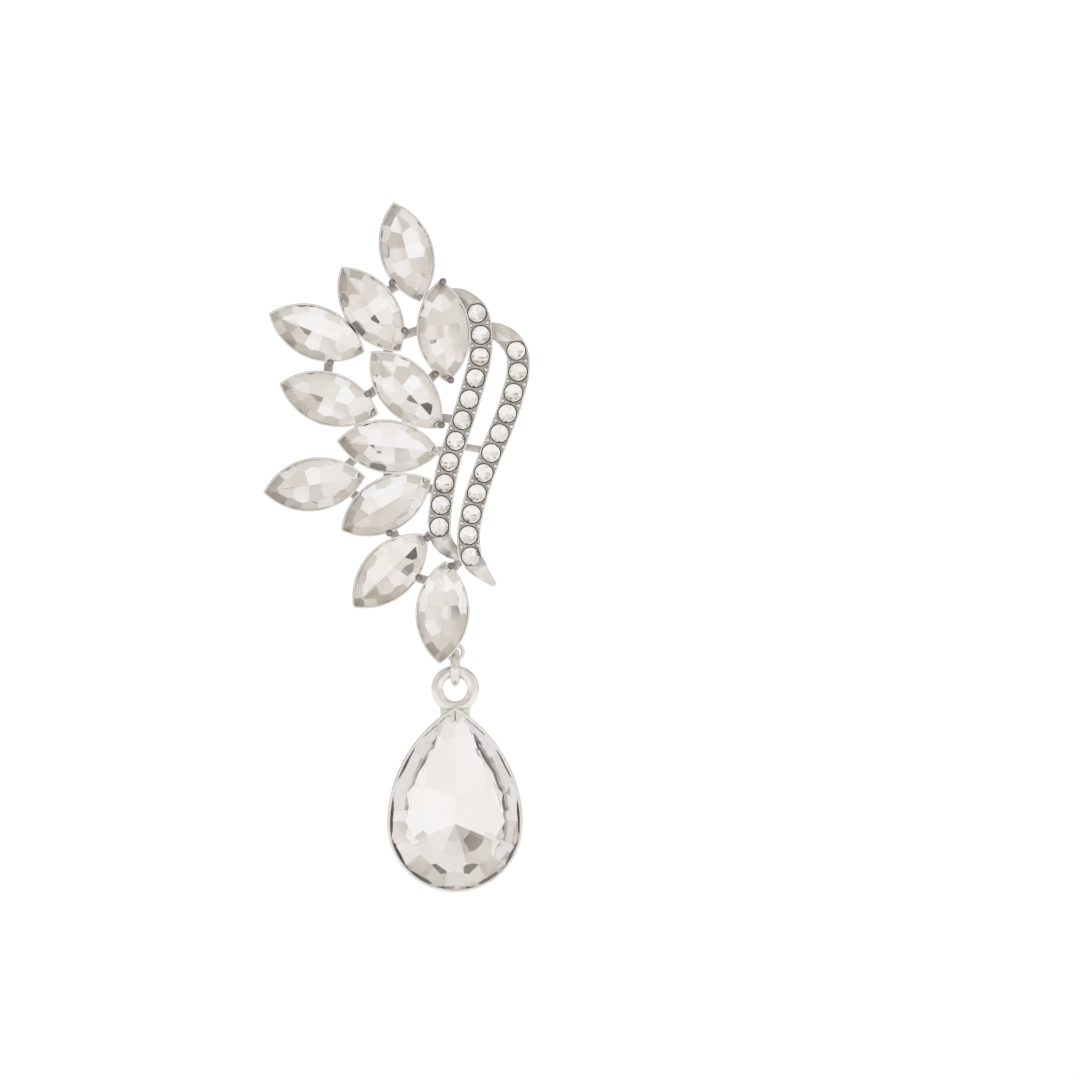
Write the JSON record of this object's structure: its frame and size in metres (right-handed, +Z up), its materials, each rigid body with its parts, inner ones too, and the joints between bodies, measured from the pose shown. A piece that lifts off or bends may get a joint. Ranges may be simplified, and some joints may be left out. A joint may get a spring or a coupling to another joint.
{
  "type": "teardrop earring",
  "caption": "Long drop earring for a pierced ear: a wing of pointed stones in cups beside two curved stone-set bars, with a pear-shaped stone hanging below on a jump ring.",
  "frame": {"origin": "root of the ear post, on the flat back of the cup that it stands on, where the lobe sits", "axes": "+Z up along the earring as it hangs, +X to the viewer's right seen from the front, +Y backwards along the ear post; the stones face -Y"},
  "size_m": [0.0266, 0.0146, 0.0691],
  "materials": {
    "rhodium_metal": "bright rhodium-plated casting, darker in the recesses round the small stones",
    "clear_crystal": "clear cut crystal with a mirror foil behind, faintly warm grey"
  },
  "bodies": {
    "wing": {"wing_frame": "rhodium_metal", "ear_post": "rhodium_metal", "navette_01": "clear_crystal", "navette_02": "clear_crystal", "navette_03": "clear_crystal", "navette_04": "clear_crystal", "navette_05": "clear_crystal", "navette_06": "clear_crystal", "navette_07": "clear_crystal", "navette_08": "clear_crystal", "navette_09": "clear_crystal", "navette_10": "clear_crystal", "navette_11": "clear_crystal", "inner_bar_stone_01": "clear_crystal", "inner_bar_stone_02": "clear_crystal", "inner_bar_stone_03": "clear_crystal", "inner_bar_stone_04": "clear_crystal", "inner_bar_stone_05": "clear_crystal", "inner_bar_stone_06": "clear_crystal", "inner_bar_stone_07": "clear_crystal", "inner_bar_stone_08": "clear_crystal", "inner_bar_stone_09": "clear_crystal", "inner_bar_stone_10": "clear_crystal", "inner_bar_stone_11": "clear_crystal", "outer_bar_stone_01": "clear_crystal", "outer_bar_stone_02": "clear_crystal", "outer_bar_stone_03": "clear_crystal", "outer_bar_stone_04": "clear_crystal", "outer_bar_stone_05": "clear_crystal", "outer_bar_stone_06": "clear_crystal", "outer_bar_stone_07": "clear_crystal", "outer_bar_stone_08": "clear_crystal", "outer_bar_stone_09": "clear_crystal", "outer_bar_stone_10": "clear_crystal", "outer_bar_stone_11": "clear_crystal"},
    "link": {"jump_ring": "rhodium_metal"},
    "drop": {"drop_setting": "rhodium_metal", "drop_stone": "clear_crystal"}
  },
  "joints": [
    {"name": "jump_ring_swing", "type": "hinge", "parent": "wing", "child": "link", "pos_m": [0.00114, -0.00025, -0.03293], "axis": [1, 0, 0], "range_deg": [-20, 20]},
    {"name": "drop_swing", "type": "hinge", "parent": "link", "child": "drop", "pos_m": [0.00114, -0.00025, -0.03516], "axis": [0, 1, 0], "range_deg": [-40, 40]}
  ]
}
